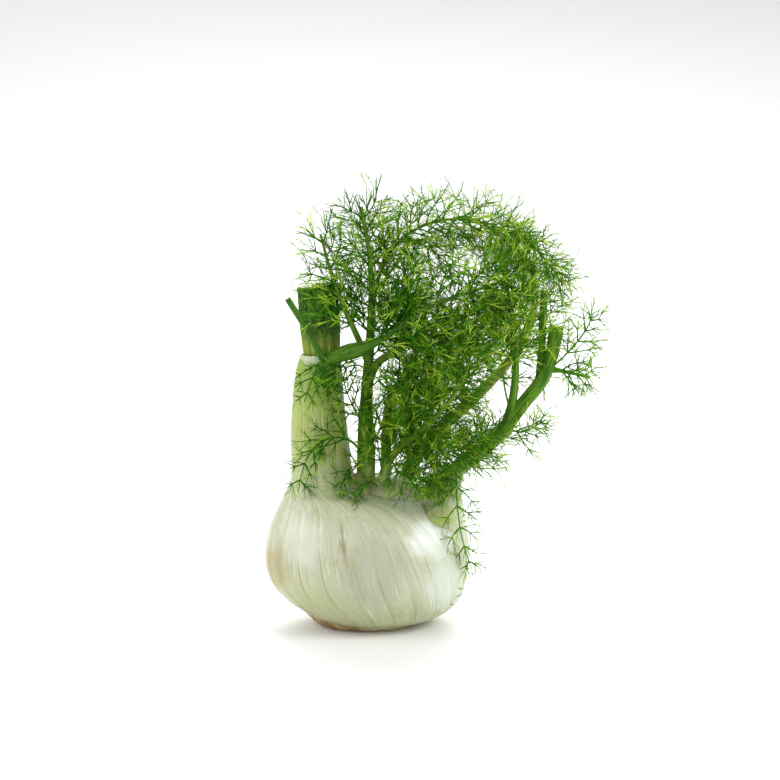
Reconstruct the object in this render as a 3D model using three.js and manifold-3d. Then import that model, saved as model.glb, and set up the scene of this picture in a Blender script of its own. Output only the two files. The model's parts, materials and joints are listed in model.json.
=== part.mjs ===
// Florence fennel bulb with its feathery leaves, standing on its trimmed root end.
//
// Millimetres, +Z up. The origin is the middle of the flat cut under the root plate. +X runs along the
// bulb's broad side, towards the branching right-hand leaf, and -Y is the bulb's front.
//
// The bulb is swollen leaf bases round one another: a heart, a base at the right and back, and an outer
// base whose ribs fan out from the tall sheath at the left. Each leaf's green stalk is rooted in its base
// and carries a feathery blade, built here from a main stem, side ribs and thread-like leaflets.
import * as THREE from 'three';
import Module from 'manifold-3d';

const wasm = await Module();
wasm.setup();

// Driving dimensions

const JOIN_GAP = 0.35; // clearance left where one piece is rooted in, or lies against, another
const RIBS = 26; // ribs round a leaf base
const FACETS_A_RIB = 2;
const GROOVE = 0.9; // depth of the groove between two ribs, on the swollen bulb
const RIB_TWIST = 16; // degrees the ribs turn from the shoulder down to the root
const SHOULDER = 0.6; // share of a leaf base's height at which the twist begins
const SIDE_RIB = { thick: 0.95, fine: 0.6 };
const LEAFLET_THICK = 0.75;
const LEAFLET_SPACING = 7.5; // between pairs of leaflets along a side rib
const STEM_STEP = 11; // between the rings of a bare stem
const TWIG_GAP = 0.5; // least gap between the twigs of two different leaves
const OWN_GAP = 0.3; // and between the twigs of one leaf

// Cross-sections of the swollen parts, from the root up. Each is an ellipse:
// [centre x, y, z, half width, half depth, tilt in degrees that lifts its right end]
const ROOT_PLATE = [
  [2, 0, 0, 20, 15, 0],
  [0, 0, 1.6, 25.5, 18.5, 1.5],
  [-4.6, 0, 5.2, 29.2, 20.5, -7],
  [-3, 0, 8.5, 26, 18.5, -7],
];
const HEART = [
  [3, 0.5, 5, 18, 12, 0],
  [3, 0.5, 13, 28, 20, 0],
  [2, 0.5, 25, 36, 25, 0],
  [2, 0.5, 38, 38, 27, 0],
  [3, 0.5, 50, 33, 24, 0],
  [6, 0.5, 60, 26.5, 19.5, -3],
  [8, 1, 67.5, 21, 15.5, -6],
  [8.5, 1, 72.5, 17.5, 12.5, -6],
  [9, 1, 75.5, 11, 8, -5],
];
// A small leaf base that stands in front of the upright leaf's stalk.
const HEART_LOBE = [
  [-3.5, -8, 58, 6, 5, 0],
  [-4, -9.5, 66, 6.5, 6, 0],
  [-4.5, -10.5, 72, 6, 5.2, 0],
  [-4.8, -10.8, 77, 4.6, 4, 0],
  [-5, -10.8, 80, 2, 1.8, 0],
];
const RIGHT_BASE = [
  [14, 5, 2.2, 16, 12, 0],
  [15, 6, 6, 23.5, 18.5, 0],
  [16.5, 7, 15, 28.8, 24, 0],
  [18.5, 8, 25, 31.5, 27, 0],
  [19, 8, 37, 32.6, 28, 0],
  [20.5, 7, 48, 29.5, 25.5, 0],
  [25.5, 5, 57, 22, 19, 0],
  [33, 3, 63, 14.2, 13.5, -3],
  [37, 1.5, 68, 10, 10.2, -8],
  [39.5, 1, 73.5, 7.8, 8, -22],
  [43, 0.3, 79, 6, 6.2, -42],
];
const OUTER_BASE = [
  [3, 0, 1, 17, 13, 0],
  [3, -0.5, 3.5, 28, 20, 0],
  [3.8, -1, 8, 36.8, 25.5, 0],
  [2, -1.5, 15, 44.3, 30, 0],
  [-0.3, -2, 25, 49.7, 33, 0],
  [-1.2, -2, 37, 50.6, 34, 0],
  [-2, -2, 49, 47.8, 32.5, -2],
  [-3.5, -1.5, 58, 42.2, 28, -3],
  [-5.8, -1.5, 64, 37, 24, -2],
  [-9.5, -1.5, 67.8, 31.7, 21, -2],
  [-18.5, -1.2, 71.5, 21.3, 16.3, -1],
  [-22.1, -1, 76, 16.4, 14, 0],
  [-23.3, -1, 82, 14.8, 12.8, 0],
  [-24, -1, 94, 14.2, 12, 0],
  [-24.9, -1, 115, 12.6, 11, 0],
  [-24.5, -1, 130, 11, 10, 0],
  [-23.4, -1, 139, 10, 9.4, 4],
];
// The thick inner stalk that fills the tall sheath and was cut across above it.
const CUT_STALK = [
  [-24.4, -1, 104, 7.2, 6.4, 0],
  [-23.6, -1, 134, 7.4, 6.8, 0],
  [-23.2, -1, 142, 8.8, 7.6, 2],
  [-23.9, -1, 155, 9.5, 7.9, 3],
  [-25.2, -1, 173.5, 9.5, 7.7, 8],
];
const STALK_RIDGES = 13;
const STALK_RIDGE = 0.45;
// Where the outer leaf's green stalk springs from the collar of the tall sheath.
const COLLAR = [-21, -12.6, 131];

// The leaves. A stem is a tapered rod along a smooth path, from its root outwards, and is leafy from the
// share `leafy` of its path on: `pairs` of side ribs up to `reach` long, with leaflets up to `leaflet` long.
// `face` is the way the blade faces, and `spread` is how far side ribs swing out of its plane, in degrees.
const LEAVES = {
  outer_leaf: {
    seed: 11,
    stems: [
      {
        path: [COLLAR, [-18.5, -13.2, 137.5], [-11.5, -15.5, 141.5], [-1.5, -19, 145], [12, -21, 152.5],
          [25, -21, 163.5], [41, -20, 169.5], [56, -18, 174], [69, -14, 179], [80, -10, 185]],
        thick: 3.9, fine: 0.7, leafy: 0.36, pairs: 11, reach: 33, leaflet: 12, face: [0, -1, 0.2], spread: 60,
      },
      {
        path: [[12, -21, 152.5], [24, -25, 150], [38, -26, 146], [52, -24, 146]],
        thick: 1.3, fine: 0.6, leafy: 0.2, pairs: 6, reach: 19, leaflet: 10, face: [0, -1, 0], spread: 65,
      },
      { path: [COLLAR, [-22.5, -13.4, 139], [-30, -14, 153.5], [-39, -15, 168.5]], thick: 2.5, fine: 1.8 },
      {
        path: [[-19.5, -13, 136], [-23, -17.5, 138], [-27, -19, 129], [-31, -19, 118]],
        thick: 1.4, fine: 0.6, leafy: 0.3, pairs: 3, reach: 13, leaflet: 7, face: [0, -1, 0], spread: 25,
      },
    ],
  },
  upright_leaf: {
    seed: 23,
    stems: [
      {
        path: [[-1.5, -3, 62], [-1, -3.5, 84], [-1, -5, 110], [0.5, -6, 137], [2, -4, 163], [1, -2, 188],
          [-3, 0, 212]],
        thick: 4.3, fine: 0.7, leafy: 0.56, pairs: 10, reach: 28, leaflet: 13, face: [0, -1, 0], spread: 70,
      },
      {
        path: [[-0.6, -5.6, 124], [5, -10.5, 136], [16, -11.5, 143], [31, -9, 153], [46, -5, 163]],
        thick: 2.5, fine: 0.6, leafy: 0.36, pairs: 5, reach: 24, leaflet: 11, face: [0, -1, 0.3], spread: 55,
      },
      {
        path: [[0.4, -6, 136], [-6.5, -9, 152], [-13.5, -9, 168], [-19, -7, 184], [-23, -5, 199]],
        thick: 1.8, fine: 0.6, leafy: 0.25, pairs: 7, reach: 21, leaflet: 12, face: [0, -1, 0], spread: 50,
      },
      {
        path: [[-1.4, -3.3, 86], [-7, -12.5, 96], [-15, -17.5, 100], [-24, -18.5, 97], [-31, -19, 87],
          [-34.5, -20, 73]],
        thick: 1.6, fine: 0.5, leafy: 0.25, pairs: 6, reach: 14, leaflet: 8, face: [0, -1, 0], spread: 20,
      },
    ],
  },
  right_leaf: {
    seed: 37,
    stems: [
      {
        path: [[38.5, 1.4, 66], [43.5, 0, 78.5], [54, -3, 88.5], [68, -7, 102]],
        thick: 4.6, fine: 4, leafy: 0.4, pairs: 4, reach: 22, leaflet: 11, face: [0, -1, -0.2], spread: 75,
      },
      {
        path: [[67.6, -7, 101.6], [71.5, -9, 116], [73, -9, 132.3], [72, -8, 150], [69.5, -6, 168],
          [65, -4, 188]],
        thick: 2.6, fine: 0.6, leafy: 0.4, pairs: 10, reach: 29, leaflet: 12, face: [0, -1, 0], spread: 70,
      },
      {
        path: [[71, -8.6, 109.5], [67.5, -11.5, 124], [65, -14, 140], [58, -17, 154]],
        thick: 1.5, fine: 0.6, leafy: 0.5, pairs: 4, reach: 20, leaflet: 10, face: [0, -1, 0], spread: 60,
      },
      { path: [[67.6, -7, 101.6], [76.5, -6, 114], [86, -5, 126], [91, -4, 139], [93.5, -4, 153.5]],
        thick: 3.5, fine: 3.6 },
      { path: [[85, -5, 125], [86.5, -1, 146], [87.5, 1, 170.5]], thick: 2, fine: 1.9 },
      {
        path: [[91, -4, 132], [99, -5, 130.5], [110, -6, 128]],
        thick: 1.4, fine: 0.6, leafy: 0.25, pairs: 4, reach: 15, leaflet: 9, face: [0, -1, 0], spread: 60,
      },
      {
        path: [[87, -4.6, 129], [97, -8, 139], [106, -9, 150], [111, -9, 160]],
        thick: 1.3, fine: 0.6, leafy: 0.3, pairs: 4, reach: 14, leaflet: 9, face: [0, -1, 0], spread: 55,
      },
      {
        path: [[68.5, -7, 102], [78, -10, 101.5], [88, -12, 108]],
        thick: 1.5, fine: 0.6, leafy: 0.2, pairs: 4, reach: 14, leaflet: 9, face: [0, -1, 0], spread: 80,
      },
      {
        path: [[44, 0, 79], [44, -9, 80], [44, -17, 70], [45.5, -20, 56], [48.5, -19, 43], [52, -15, 32]],
        thick: 1.4, fine: 0.5, leafy: 0.25, pairs: 5, reach: 13, leaflet: 8, face: [0, -1, 0], spread: 25,
      },
    ],
  },
  front_leaf: {
    seed: 41,
    stems: [
      {
        path: [[6.5, -5.2, 64], [8, -7, 80], [14, -13, 92], [23, -20, 101], [34, -26, 113], [44, -28, 126],
          [50, -28, 140]],
        thick: 2.7, fine: 0.6, leafy: 0.3, pairs: 9, reach: 28, leaflet: 11, face: [0, -1, 0.2], spread: 65,
      },
      {
        path: [[9, -8.5, 84], [11, -16, 88], [15, -22, 84], [19, -25, 76]],
        thick: 1.3, fine: 0.5, leafy: 0.2, pairs: 4, reach: 16, leaflet: 8, face: [0, -1, 0], spread: 40,
      },
      {
        path: [[14, -13, 92], [25, -20, 93], [37, -23, 93], [49, -23, 97], [58, -21, 103]],
        thick: 1.6, fine: 0.5, leafy: 0.2, pairs: 7, reach: 21, leaflet: 10, face: [0, -1, 0], spread: 60,
      },
      {
        path: [[18, -16.5, 96], [20, -22, 108], [20, -26, 122], [16, -28, 134]],
        thick: 1.3, fine: 0.5, leafy: 0.2, pairs: 5, reach: 19, leaflet: 10, face: [0, -1, 0], spread: 65,
      },
    ],
  },
  centre_leaf: {
    seed: 53,
    stems: [
      {
        path: [[9.5, 2.4, 64], [9, 6, 88], [10, 8, 108], [14, 5, 121], [23, 1, 131], [36, -3, 141],
          [53, -5, 152], [67, -6, 160]],
        thick: 3, fine: 0.7, leafy: 0.42, pairs: 9, reach: 28, leaflet: 12, face: [0, -1, 0], spread: 70,
      },
      {
        path: [[9, 7, 98], [17, 6, 108], [29, 3, 115], [42, 1, 121], [54, 0, 131]],
        thick: 1.8, fine: 0.6, leafy: 0.3, pairs: 6, reach: 20, leaflet: 10, face: [0, -1, 0], spread: 70,
      },
    ],
  },
  arching_leaf: {
    seed: 61,
    stems: [
      {
        path: [[-1, 6.4, 64], [0, 11, 96], [-0.5, 15, 129], [2, 13, 159], [8, 9, 183], [19, 5, 197.5],
          [36, 3, 205], [55, 2, 204.5], [72, 0, 198.5], [86, -3, 188], [96, -5, 174]],
        thick: 3.3, fine: 0.7, leafy: 0.36, pairs: 14, reach: 21, leaflet: 11, face: [0, -1, 0], spread: 75,
      },
      {
        path: [[19, 5, 197.5], [32, 0, 190], [45, -3, 179], [55, -4, 166]],
        thick: 1.3, fine: 0.6, leafy: 0.2, pairs: 6, reach: 20, leaflet: 11, face: [0, -1, 0], spread: 65,
      },
    ],
  },
  back_leaf: {
    seed: 79,
    stems: [
      {
        path: [[17.5, 5.4, 62], [21, 12, 78], [33, 26, 92], [53, 37, 108], [74, 42, 130], [85, 40, 154],
          [84, 36, 175], [74, 30, 191], [58, 24, 201]],
        thick: 4, fine: 0.9, leafy: 0.42, pairs: 11, reach: 26, leaflet: 12, face: [0, 1, 0], spread: 75,
      },
      {
        path: [[51, 36, 107], [46, 42, 122], [36, 46, 140], [24, 46, 158], [14, 42, 174]],
        thick: 2.2, fine: 0.6, leafy: 0.3, pairs: 7, reach: 24, leaflet: 12, face: [0, 1, 0], spread: 70,
      },
    ],
  },
};

// Colours and sheens

const finish = (color, roughness) => new THREE.MeshStandardMaterial({ color, roughness, metalness: 0 });
const ROOT_BROWN = finish('#8d7448', 0.85);
const BULB_WHITE = finish('#dfe3c8', 0.38);
const HEART_CREAM = finish('#cfd6a4', 0.42);
const STALK_GREEN = finish('#4f7d27', 0.45);
const LEAF_GREENS = {
  outer_leaf: finish('#4c8a26', 0.5),
  upright_leaf: finish('#3f8220', 0.5),
  right_leaf: finish('#4f8f2a', 0.5),
  front_leaf: finish('#6c9c2c', 0.5),
  centre_leaf: finish('#5d9430', 0.5),
  arching_leaf: finish('#4a8428', 0.5),
  back_leaf: finish('#41722a', 0.5),
};

// Small helpers

const vector = ([x, y, z]) => new THREE.Vector3(x, y, z);
const radians = THREE.MathUtils.degToRad;

// A repeatable source of numbers from 0 to 1, so that every build grows the same leaves.
function seeded(seed) {
  let state = seed;
  return (low, high) => {
    state = (Math.imul(state, 1664525) + 1013904223) >>> 0;
    return low + ((high - low) * state) / 2 ** 32;
  };
}

// A smooth curve through the points.
function smooth(points) {
  return new THREE.CatmullRomCurve3(points, false, 'catmullrom');
}

// Skins rings of equally many points into one closed surface and returns it as a solid.
function skin(rings) {
  const sides = rings[0].length;
  const last = (rings.length - 1) * sides;
  const faces = [];
  for (let start = 0; start < last; start += sides) {
    for (let side = 0; side < sides; side++) {
      const here = start + side;
      const next = start + ((side + 1) % sides);
      faces.push(here, next, next + sides, here, next + sides, here + sides);
    }
  }
  for (let side = 1; side + 1 < sides; side++) {
    faces.push(0, side + 1, side, last, last + side, last + side + 1);
  }
  return solid(new THREE.BufferGeometry().setFromPoints(rings.flat()).setIndex(faces));
}

// A closed geometry with shared vertices, as a solid that can be joined and cut.
function solid(geometry) {
  const { position } = geometry.attributes;
  const triVerts = new Uint32Array(geometry.index.array);
  return new wasm.Manifold(new wasm.Mesh({ numProp: 3, vertProperties: position.array, triVerts }));
}

// The largest connected piece of a solid: joining many thin twigs can leave a loose scrap.
function largest(body) {
  return body.decompose().reduce((best, piece) => (piece.volume() > best.volume() ? piece : best));
}

function named(name, body, material) {
  const { vertProperties, triVerts } = body.getMesh();
  const geometry = new THREE.BufferGeometry();
  geometry.setAttribute('position', new THREE.BufferAttribute(vertProperties, 3));
  geometry.setIndex(new THREE.BufferAttribute(triVerts, 1));
  geometry.computeVertexNormals();
  const mesh = new THREE.Mesh(geometry, material);
  mesh.name = name;
  return mesh;
}

// Swollen leaf bases, the root plate and the cut stalk

// Skins a solid through a table of ellipses. `relief` gives how far the surface stands in or out at an angle
// and a share of the height, and `grow` enlarges the whole solid, to cut clearance for it in a neighbour.
function swollen(sections, { rows, sides, relief = () => 0, grow = 0, twist = 0 }) {
  const centres = smooth(sections.map(([x, y, z]) => vector([x, y, z])));
  const extents = smooth(sections.map(([, , , width, depth, tilt]) => vector([width, depth, radians(tilt)])));
  const rings = [];
  for (let row = 0; row <= rows; row++) {
    const share = row / rows;
    const centre = centres.getPoint(share);
    const { x: width, y: depth, z: tilt } = extents.getPoint(share);
    if (row === 0) centre.z -= grow;
    if (row === rows) centre.z += grow;
    const ring = [];
    for (let side = 0; side < sides; side++) {
      const turn = (side / sides) * 2 * Math.PI;
      const angle = turn + radians(twist) * Math.max(0, 1 - share / SHOULDER);
      const out = grow + relief(turn, share);
      const across = (width + out) * Math.cos(angle);
      ring.push(
        new THREE.Vector3(across * Math.cos(tilt), (depth + out) * Math.sin(angle), across * Math.sin(tilt)).add(centre),
      );
    }
    rings.push(ring);
  }
  return skin(rings);
}

// A groove between every two ribs of a leaf base, shallow at the root and along the narrow sheath.
function ribbed(depthAt) {
  return (angle, share) => {
    const phase = ((angle / (2 * Math.PI)) * RIBS) % 1;
    return phase < 0.01 || phase > 0.99 ? -depthAt(share) : 0;
  };
}
const leafBase = { sides: RIBS * FACETS_A_RIB, twist: RIB_TWIST };
const outerGrooves = (share) => GROOVE * (share < 0.1 ? share * 10 : share < SHOULDER ? 1 : 0.4);
const rightGrooves = (share) => GROOVE * (share < 0.1 ? share * 10 : share < SHOULDER ? 1 : 0.35);

// Corky, uneven edge of the root plate, flat underneath.
function corky(angle, share) {
  return share < 0.3 ? 0 : 0.5 * Math.sin(5 * angle + 1) + 0.4 * Math.sin(11 * angle);
}
const stalkRidges = (angle) => STALK_RIDGE * Math.cos(STALK_RIDGES * angle);

// Leaf stems, side ribs and leaflets

// A stem's path and thickness at a share of its length.
function stemLine({ path, thick, fine }) {
  const curve = smooth(path.map(vector));
  return {
    length: curve.getLength(),
    at: (share) => curve.getPoint(share),
    along: (share) => curve.getTangent(share),
    radius: (share) => thick + (fine - thick) * share,
  };
}

// Side ribs of a stem, in pairs: [{ share, ribs: [{ points, leaflets: [[{ share, root, tip }] a pair] }] }].
function feather(stem, random) {
  const line = stemLine(stem);
  const face = vector(stem.face).normalize();
  const down = vector([0, 0, -1]);
  const pairs = [];
  for (let i = 0; i < stem.pairs; i++) {
    const share = (i + 0.5) / stem.pairs;
    const ribs = [];
    for (const side of [-1, 1]) {
      const along = line.along(stem.leafy + (0.98 - stem.leafy) * share);
      const heading = sideways(along, face, side, random(-stem.spread, stem.spread), random(42, 62));
      const length = stem.reach * (1 - 0.62 * share) * random(0.8, 1.08);
      const sag = along.multiplyScalar(0.16).addScaledVector(down, random(0, 0.16));
      const root = line.at(stem.leafy + (0.98 - stem.leafy) * share);
      const at = (s) => root.clone().addScaledVector(heading, length * s).addScaledVector(sag, length * s * s);
      const count = Math.max(1, Math.round(length / LEAFLET_SPACING));
      const leaflets = [];
      for (let j = 0; j < count; j++) {
        const s = (j + 0.6) / count;
        const forward = at(s + 0.05).sub(at(s)).normalize();
        const threads = [-1, 1].map((hand) => {
          const aim = sideways(forward, face, hand, random(-70, 70), random(38, 60));
          const tip = at(s).addScaledVector(aim, stem.leaflet * (1 - 0.4 * s) * random(0.75, 1.15));
          return { root: at(s), tip };
        });
        leaflets.push({ share: s, threads });
      }
      ribs.push({ at, length, leaflets });
    }
    pairs.push({ share: stem.leafy + (0.98 - stem.leafy) * share, ribs });
  }
  return pairs;
}

// A direction that leans away from `along` to one side, in the blade's plane turned by `swing` degrees.
function sideways(along, face, side, swing, lean) {
  const across = along.clone().cross(face).normalize();
  const up = across.clone().cross(along);
  return along
    .clone()
    .multiplyScalar(Math.cos(radians(lean)))
    .addScaledVector(across, side * Math.sin(radians(lean)) * Math.cos(radians(swing)))
    .addScaledVector(up, Math.sin(radians(lean)) * Math.sin(radians(swing)));
}

// Grows a rod from `ring`, corners that `points` already holds, through its stations and closes its far end.
// A station of no thickness is a point. Each bud of a station grows out of the wall just before that station
// which faces the bud's first point most.
function growRod(points, faces, ring, stations) {
  const centroid = (corners) =>
    corners.reduce((sum, corner) => sum.add(points[corner]), new THREE.Vector3()).divideScalar(corners.length);
  for (const { centre, thick, buds = [] } of stations) {
    const middle = centroid(ring);
    const along = centre.clone().sub(middle).normalize();
    const out = points[ring[0]].clone().sub(middle).projectOnPlane(along).setLength(thick || 1);
    const next = thick
      ? ring.map((_, side) => {
          const turned = out.clone().applyAxisAngle(along, (side / ring.length) * 2 * Math.PI);
          return points.push(turned.add(centre)) - 1;
        })
      : [points.push(centre.clone()) - 1];
    const walls = ring.map((corner, side) => {
      const other = (side + 1) % ring.length;
      return thick ? [corner, ring[other], next[other], next[side]] : [corner, ring[other], next[0]];
    });
    for (const bud of buds) {
      const towards = bud[0].centre.clone().sub(middle);
      const facing = (wall) => centroid(wall).sub(middle).projectOnPlane(along).normalize().dot(towards);
      const free = walls.filter((wall) => wall.length === 4);
      const wall = free.reduce((best, each) => (facing(each) > facing(best) ? each : best));
      growRod(points, faces, wall.slice(0, 3), bud);
      wall.splice(1, 1);
    }
    for (const [first, ...rest] of walls) {
      for (let i = 0; i + 1 < rest.length; i++) faces.push(first, rest[i], rest[i + 1]);
    }
    ring = next;
  }
  for (let side = 1; side + 1 < ring.length; side++) faces.push(ring[0], ring[side], ring[side + 1]);
}

// A free-standing rod from `start` of the given thickness through its stations.
function rod(start, thick, sides, stations) {
  const along = stations[0].centre.clone().sub(start).normalize();
  const sideward = Math.abs(along.z) > 0.7 ? vector([1, 0, 0]) : vector([0, 0, 1]);
  const out = sideward.projectOnPlane(along).setLength(thick);
  const points = [];
  const ring = Array.from({ length: sides }, (_, side) => {
    const turned = out.clone().applyAxisAngle(along, (side / sides) * 2 * Math.PI);
    return points.push(turned.add(start)) - 1;
  });
  const faces = [];
  for (let side = 1; side + 1 < sides; side++) faces.push(0, side + 1, side);
  growRod(points, faces, ring, stations);
  return solid(new THREE.BufferGeometry().setFromPoints(points).setIndex(faces));
}

// A stem with its ribs and leaflets. `grow` thickens it, to cut clearance for a bare stem in a neighbour.
function stemSolid(stem, pairs = [], grow = 0) {
  const line = stemLine(stem);
  const shares = new Map();
  const bare = pairs.length ? stem.leafy : 1;
  const steps = Math.max(2, Math.round((line.length * bare) / STEM_STEP));
  for (let i = 1; i <= steps; i++) shares.set(bare * (i / steps), []);
  for (const { share, ribs } of pairs) {
    const half = (0.5 + 0.35 * line.radius(share)) / line.length;
    shares.set(share - half, []);
    shares.set(share + half, ribs.map((rib) => ribStations(rib)));
  }
  shares.set(1, []);
  const stations = [...shares].map(([share, buds]) => ({
    centre: line.at(share),
    thick: line.radius(share) + grow,
    buds,
  }));
  return rod(line.at(0).addScaledVector(line.along(0), -grow), line.radius(0) + grow, stem.thick > 2.2 ? 6 : 4, stations);
}

function ribStations({ at, length, leaflets }) {
  const radius = (share) => SIDE_RIB.thick + (SIDE_RIB.fine - SIDE_RIB.thick) * share;
  const half = 0.7 / length;
  const stations = [];
  for (const { share, threads } of leaflets) {
    const buds = threads.map(({ tip }) => [{ centre: tip, thick: 0 }]);
    stations.push({ centre: at(share - half), thick: radius(share) });
    stations.push({ centre: at(share + half), thick: radius(share), buds });
  }
  return [...stations, { centre: at(1), thick: 0 }];
}

// One leaf: its stems, with each side rib and leaflet that keeps clear of the neighbours and of the leaf's own.
function growLeaf({ seed, stems }, neighbours) {
  const random = seeded(seed);
  const thread = (from, to, thick) => rod(from, thick, 3, [{ centre: to, thick: 0 }]);
  const bent = ({ at }) => rod(at(0), SIDE_RIB.thick, 3, [{ centre: at(0.5), thick: SIDE_RIB.thick }, { centre: at(1), thick: 0 }]);
  const isClear = (twig, others, gap) => others.every((other) => twig.minGap(other, 2 * gap) > gap);
  const pieces = stems.map((stem) => {
    const bare = stemSolid(stem);
    const own = [];
    const pairs = stem.pairs ? feather(stem, random) : [];
    for (const pair of pairs) {
      pair.ribs = pair.ribs.filter((rib) => {
        const twig = bent(rib);
        if (!isClear(twig, neighbours, TWIG_GAP) || !isClear(twig, own, OWN_GAP)) return false;
        const held = [twig];
        for (const pairOf of rib.leaflets) {
          pairOf.threads = pairOf.threads.filter(({ root, tip }) => {
            const needle = thread(root, tip, LEAFLET_THICK);
            const clear = isClear(needle, neighbours, TWIG_GAP) && isClear(needle, [bare, ...own], OWN_GAP);
            if (clear) held.push(needle);
            return clear;
          });
        }
        rib.leaflets = rib.leaflets.filter(({ threads }) => threads.length);
        own.push(...held);
        return true;
      });
    }
    return stemSolid(stem, pairs.filter(({ ribs }) => ribs.length));
  });
  return largest(wasm.Manifold.union(pieces).simplify(0.03));
}

// Assembly

const allStems = Object.values(LEAVES).flatMap(({ stems }) => stems);
const stemRoots = wasm.Manifold.union(allStems.map((stem) => stemSolid(stem, [], 1.8 * JOIN_GAP)));

const plain = { rows: 8, sides: 24 };
const plateShape = { rows: 4, sides: 33, relief: corky };
const rootPlate = swollen(ROOT_PLATE, plateShape);
const plateClearance = swollen(ROOT_PLATE, { ...plateShape, grow: 2 * JOIN_GAP });

const lobeShape = { rows: 5, sides: 14 };
const heartWith = (grow) =>
  swollen(HEART, { ...plain, grow }).add(swollen(HEART_LOBE, { ...lobeShape, grow }));
const heartClearance = heartWith(1.4 * JOIN_GAP);
const heart = largest(heartWith(0).subtract(plateClearance).subtract(stemRoots));

const rightShape = { ...leafBase, rows: 10, relief: ribbed(rightGrooves) };
const rightBase = largest(
  swollen(RIGHT_BASE, rightShape).subtract(plateClearance).subtract(heartClearance).subtract(stemRoots),
);
const rightClearance = swollen(RIGHT_BASE, { rows: 10, sides: 36, grow: 1.4 * JOIN_GAP });

const stalkShape = { rows: 6, sides: STALK_RIDGES * 2, relief: stalkRidges };
const cutStalk = swollen(CUT_STALK, stalkShape);
const stalkClearance = swollen(CUT_STALK, { ...stalkShape, grow: 1.4 * JOIN_GAP });
const outerBase = largest(
  swollen(OUTER_BASE, { ...leafBase, rows: 15, relief: ribbed(outerGrooves) })
    .subtract(plateClearance)
    .subtract(heartClearance)
    .subtract(rightClearance)
    .subtract(stalkClearance)
    .subtract(stemRoots),
);

const bulb = [rootPlate, heart, rightBase, outerBase, cutStalk];
const fennel = new THREE.Group();
fennel.add(named('root_plate', rootPlate, ROOT_BROWN));
fennel.add(named('heart_leaf_bases', heart, HEART_CREAM));
fennel.add(named('right_leaf_base', rightBase, BULB_WHITE));
fennel.add(named('outer_leaf_base', outerBase, BULB_WHITE));
fennel.add(named('cut_stalk', cutStalk, STALK_GREEN));

const stemsOf = new Map(
  Object.entries(LEAVES).map(([name, { stems }]) => [name, wasm.Manifold.union(stems.map((stem) => stemSolid(stem)))]),
);
const grown = new Map();
for (const [name, leaf] of Object.entries(LEAVES)) {
  const others = [...stemsOf.keys()].filter((other) => other !== name);
  const neighbours = [...bulb, ...others.map((other) => grown.get(other) ?? stemsOf.get(other))];
  grown.set(name, growLeaf(leaf, neighbours));
  fennel.add(named(name, grown.get(name), LEAF_GREENS[name]));
}

export default fennel;
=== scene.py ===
# A Florence fennel bulb with its feathery leaves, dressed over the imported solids.
import json
import math

import bpy
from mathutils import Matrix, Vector, noise
from mathutils.bvhtree import BVHTree

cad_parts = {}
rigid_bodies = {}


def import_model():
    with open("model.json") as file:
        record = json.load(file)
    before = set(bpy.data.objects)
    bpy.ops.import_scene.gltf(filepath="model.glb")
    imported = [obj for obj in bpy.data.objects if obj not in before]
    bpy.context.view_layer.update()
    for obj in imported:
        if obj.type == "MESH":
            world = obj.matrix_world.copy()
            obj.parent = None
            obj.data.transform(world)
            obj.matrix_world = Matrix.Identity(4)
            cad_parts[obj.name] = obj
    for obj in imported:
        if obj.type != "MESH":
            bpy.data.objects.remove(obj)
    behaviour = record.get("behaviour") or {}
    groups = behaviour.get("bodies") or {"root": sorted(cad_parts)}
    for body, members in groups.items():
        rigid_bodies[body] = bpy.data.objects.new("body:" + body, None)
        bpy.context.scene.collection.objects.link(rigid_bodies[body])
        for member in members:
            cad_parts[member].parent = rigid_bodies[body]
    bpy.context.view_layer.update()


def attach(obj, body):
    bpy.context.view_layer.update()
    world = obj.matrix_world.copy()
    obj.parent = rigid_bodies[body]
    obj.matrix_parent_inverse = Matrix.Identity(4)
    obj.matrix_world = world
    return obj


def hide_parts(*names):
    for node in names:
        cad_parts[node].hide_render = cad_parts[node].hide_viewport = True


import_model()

MM = 0.001

# Sizes of the plant, in millimetres

# Ribs on a leaf base; they wind round by this many degrees up to this share of its height.
RIBS = 26
RIB_TWIST = 30
SHOULDER = 0.6
RIB_DEPTH = 0.45
RIGHT_RIB_DEPTH = 0.4

# The thin edge of a leaf base: how far it stands up, how wide it is, and how it tucks in past it.
LIP = 1.1
RIGHT_LIP = 0.8
LIP_WIDTH = 2.4
TUCK_SLOPE = 3.5
DEEPEST_TUCK = 2.5

# The fold in the front: where it crosses a height, how it leans, and the middle of its length.
CREASE_X = -12
CREASE_CROSSES = 50
CREASE_LEAN = 0.12
CREASE_MIDDLE = 52
CREASE_REACH = 11

# Stems thicker than this are ridged stalks, and the others are drawn thinner by a share.
STALK_FROM = 1.65
THIN_STEM = 0.42
STALK_RIDGES = 12
RIDGE_DEPTH = 0.1

# Radius at the root of a side rib and of a sprig on it, and how much of it is lost by the tip.
SIDE_RIB = 0.5
SIDE_RIB_TAPER = 0.28
SPRIG = 0.3
SPRIG_TAPER = 0.14

# Forked leaflets: width of a thread, kinds, sides of a thread, and the way they stand on a rib.
THREAD = 0.4
LEAFLET_KINDS = 6
THREAD_SIDES = 3
FORK_ANGLE = 0.48
LEAFLET_SPACING = 5
LEAFLET_LEAN = math.radians(31)

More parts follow.
